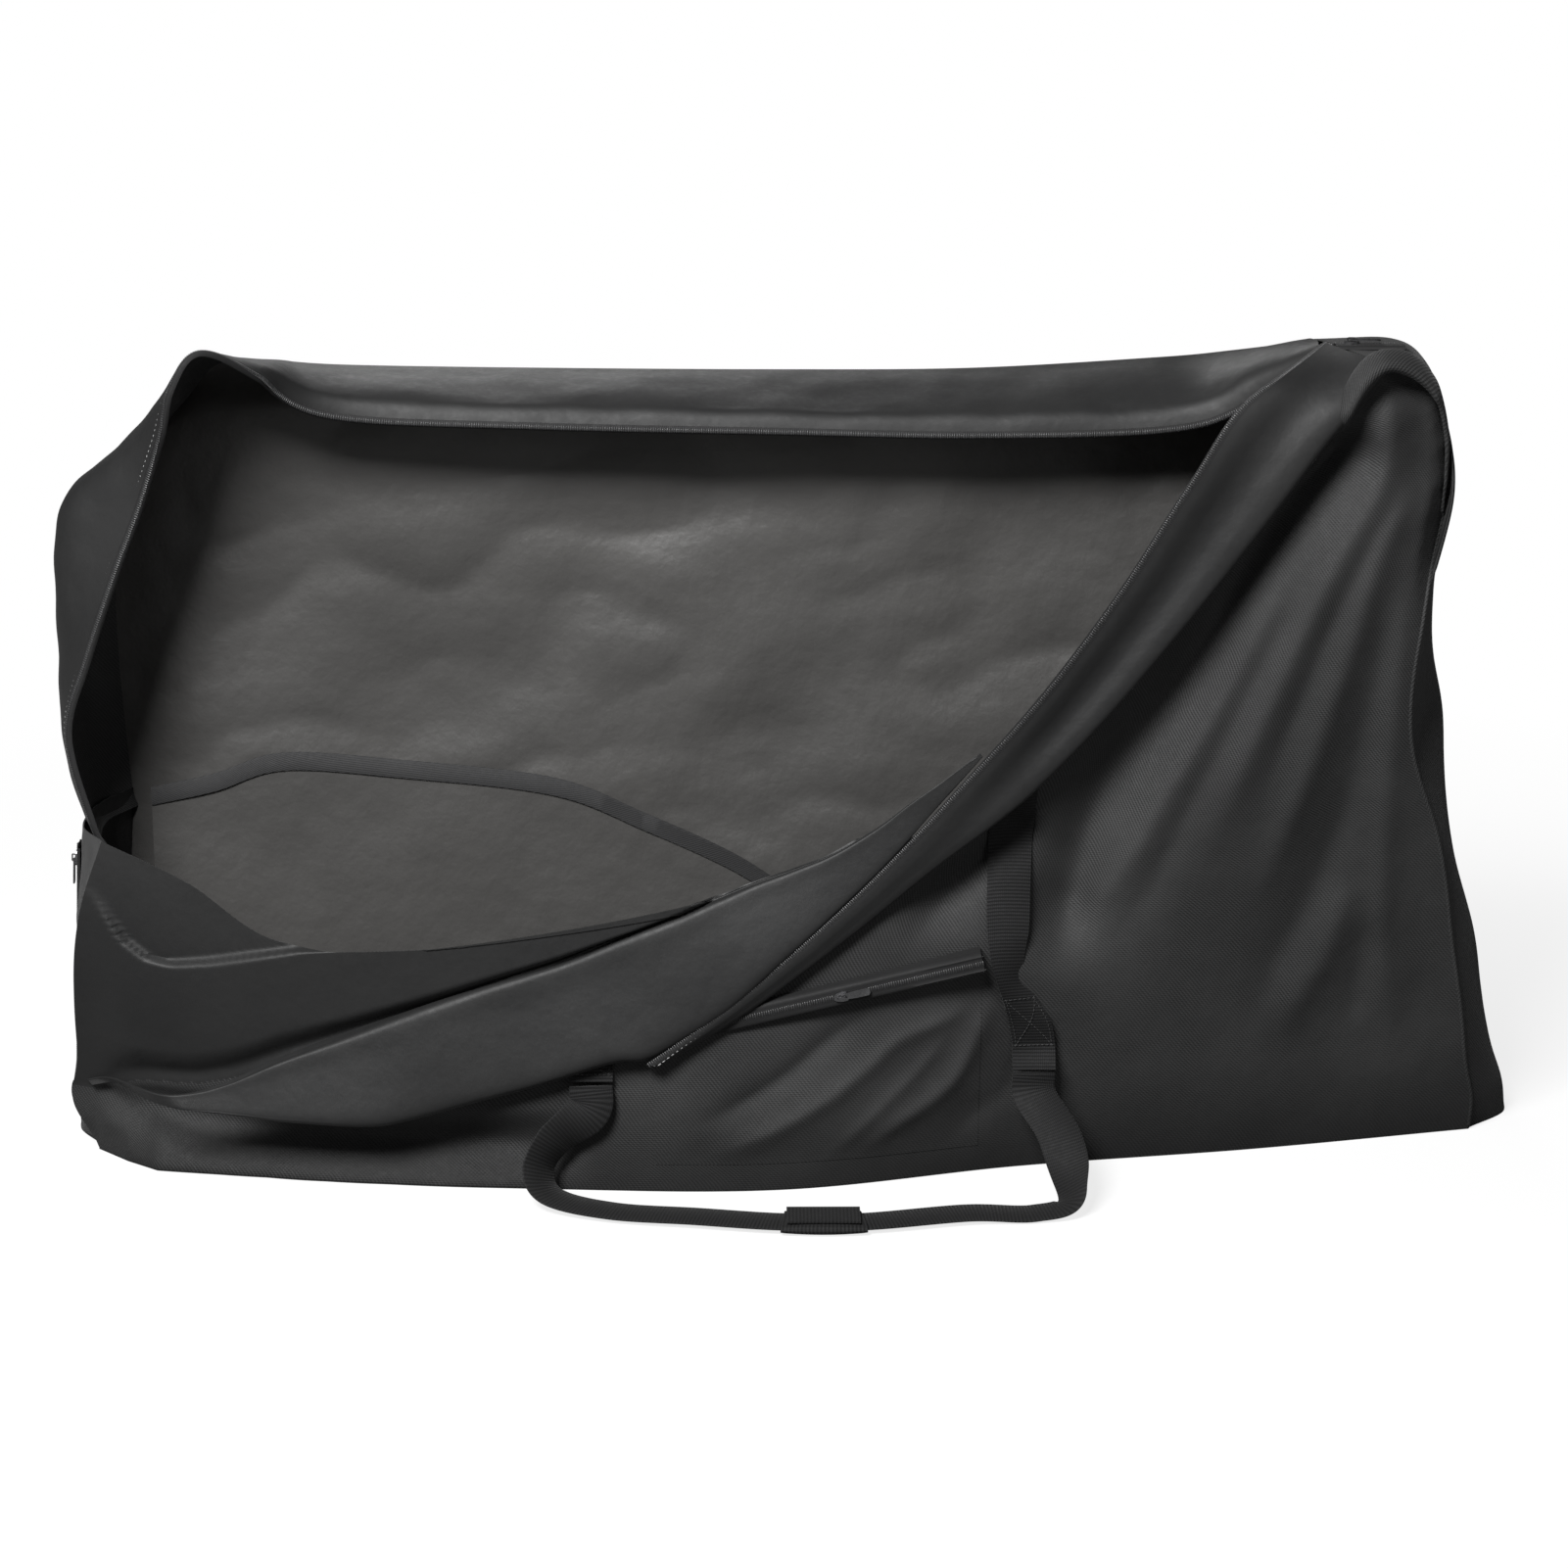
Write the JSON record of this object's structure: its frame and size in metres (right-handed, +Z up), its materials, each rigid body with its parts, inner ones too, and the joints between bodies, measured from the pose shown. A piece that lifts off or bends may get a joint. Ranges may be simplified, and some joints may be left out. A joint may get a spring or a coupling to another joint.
{
  "type": "soft bike travel bag",
  "caption": "Soft zipped bag for carrying a bicycle, standing open, with webbing handles, a turned out front corner and an outer zip pocket.",
  "frame": {"origin": "on the floor under the bottom panel, at the middle of the bag's length and near the middle of its depth", "axes": "+X along the bag to its right end, +Y to the back, +Z up"},
  "size_m": [1.5658, 0.6049, 0.8735],
  "materials": {
    "outer_cloth": "black coated twill, slightly glossy on the folds",
    "lining": "smooth coated inner side of the cloth",
    "webbing": "ribbed black webbing, matt",
    "zip_tape": "black zip tape with a coil",
    "slider_metal": "dull plated zip metal"
  },
  "bodies": {
    "bag": {"back_handle_leg_left": "webbing", "back_handle_leg_right": "webbing", "back_panel": "outer_cloth", "bottom_panel": "outer_cloth", "front_gusset_strip": "outer_cloth", "front_handle_leg_left": "webbing", "front_handle_leg_right": "webbing", "front_panel": "outer_cloth", "front_pocket": "outer_cloth", "front_zip_tape": "zip_tape", "inner_pocket_binding": "webbing", "inner_wheel_pocket": "lining", "left_lower_gusset": "outer_cloth", "left_rear_gusset": "outer_cloth", "left_rear_zip_tape": "zip_tape", "left_zip_closed": "zip_tape", "pocket_zip_tape": "zip_tape", "right_gusset": "outer_cloth", "right_zip_closed": "zip_tape", "top_rear_gusset": "outer_cloth", "top_rear_zip_tape": "zip_tape"},
    "left_slider": {"left_zip_slider": "slider_metal"},
    "left_pull": {"left_zip_pull": "slider_metal"},
    "right_slider": {"right_zip_slider": "slider_metal"},
    "right_pull": {"right_zip_pull": "slider_metal"},
    "pocket_slider": {"pocket_zip_slider": "slider_metal"},
    "pocket_pull": {"pocket_zip_pull": "slider_metal"},
    "flap": {"front_flap": "lining"},
    "front_loop": {"front_handle_loop": "webbing", "front_handle_grip": "webbing"},
    "front_grip_cover": {"front_grip_flap": "webbing"},
    "back_loop": {"back_handle_loop": "webbing", "back_handle_grip": "webbing"},
    "back_grip_cover": {"back_grip_flap": "webbing"}
  },
  "joints": [
    {"name": "left_zip_run", "type": "slide", "parent": "bag", "child": "left_slider", "axis": [-0.0711, 0.1376, -0.9879], "range_m": [0, 0.235]},
    {"name": "left_pull_swing", "type": "hinge", "parent": "left_slider", "child": "left_pull", "pos_m": [-0.75332, -0.02776, 0.32], "axis": [0, 0.9904, 0.138], "range_deg": [0, 170]},
    {"name": "right_zip_run", "type": "slide", "parent": "bag", "child": "right_slider", "axis": [1, 0, 0], "range_m": [0, 0.035]},
    {"name": "right_pull_swing", "type": "hinge", "parent": "right_slider", "child": "right_pull", "pos_m": [0.583, -0.02002, 0.87072], "axis": [0, -1, 0], "range_deg": [0, 170]},
    {"name": "pocket_zip_run", "type": "slide", "parent": "bag", "child": "pocket_slider", "axis": [0.9721, 0, 0.2345], "range_m": [0, 0.115]},
    {"name": "pocket_pull_swing", "type": "hinge", "parent": "pocket_slider", "child": "pocket_pull", "pos_m": [0.05942, -0.1843, 0.21488], "axis": [0.2345, 0, -0.9721], "range_deg": [0, 170]},
    {"name": "flap_swing", "type": "hinge", "parent": "bag", "child": "flap", "pos_m": [-0.3, -0.17398, 0.24319], "axis": [-0.9465, 0, -0.3226], "range_deg": [0, 150]},
    {"name": "front_loop_swing", "type": "hinge", "parent": "bag", "child": "front_loop", "pos_m": [0.031, -0.1604, 0.118], "axis": [-0.9953, -0.0972, 0], "range_deg": [0, 100]},
    {"name": "front_grip_cover_open", "type": "hinge", "parent": "front_loop", "child": "front_grip_cover", "pos_m": [0.0404, -0.303, 0.0138], "axis": [1, 0.0075, 0], "range_deg": [0, 120]},
    {"name": "back_loop_swing", "type": "hinge", "parent": "bag", "child": "back_loop", "pos_m": [0.031, 0.141, 0.118], "axis": [1, 0, 0], "range_deg": [0, 100]},
    {"name": "back_grip_cover_open", "type": "hinge", "parent": "back_loop", "child": "back_grip_cover", "pos_m": [0.03835, 0.28442, 0.0138], "axis": [-0.996, -0.0898, 0], "range_deg": [0, 120]}
  ]
}
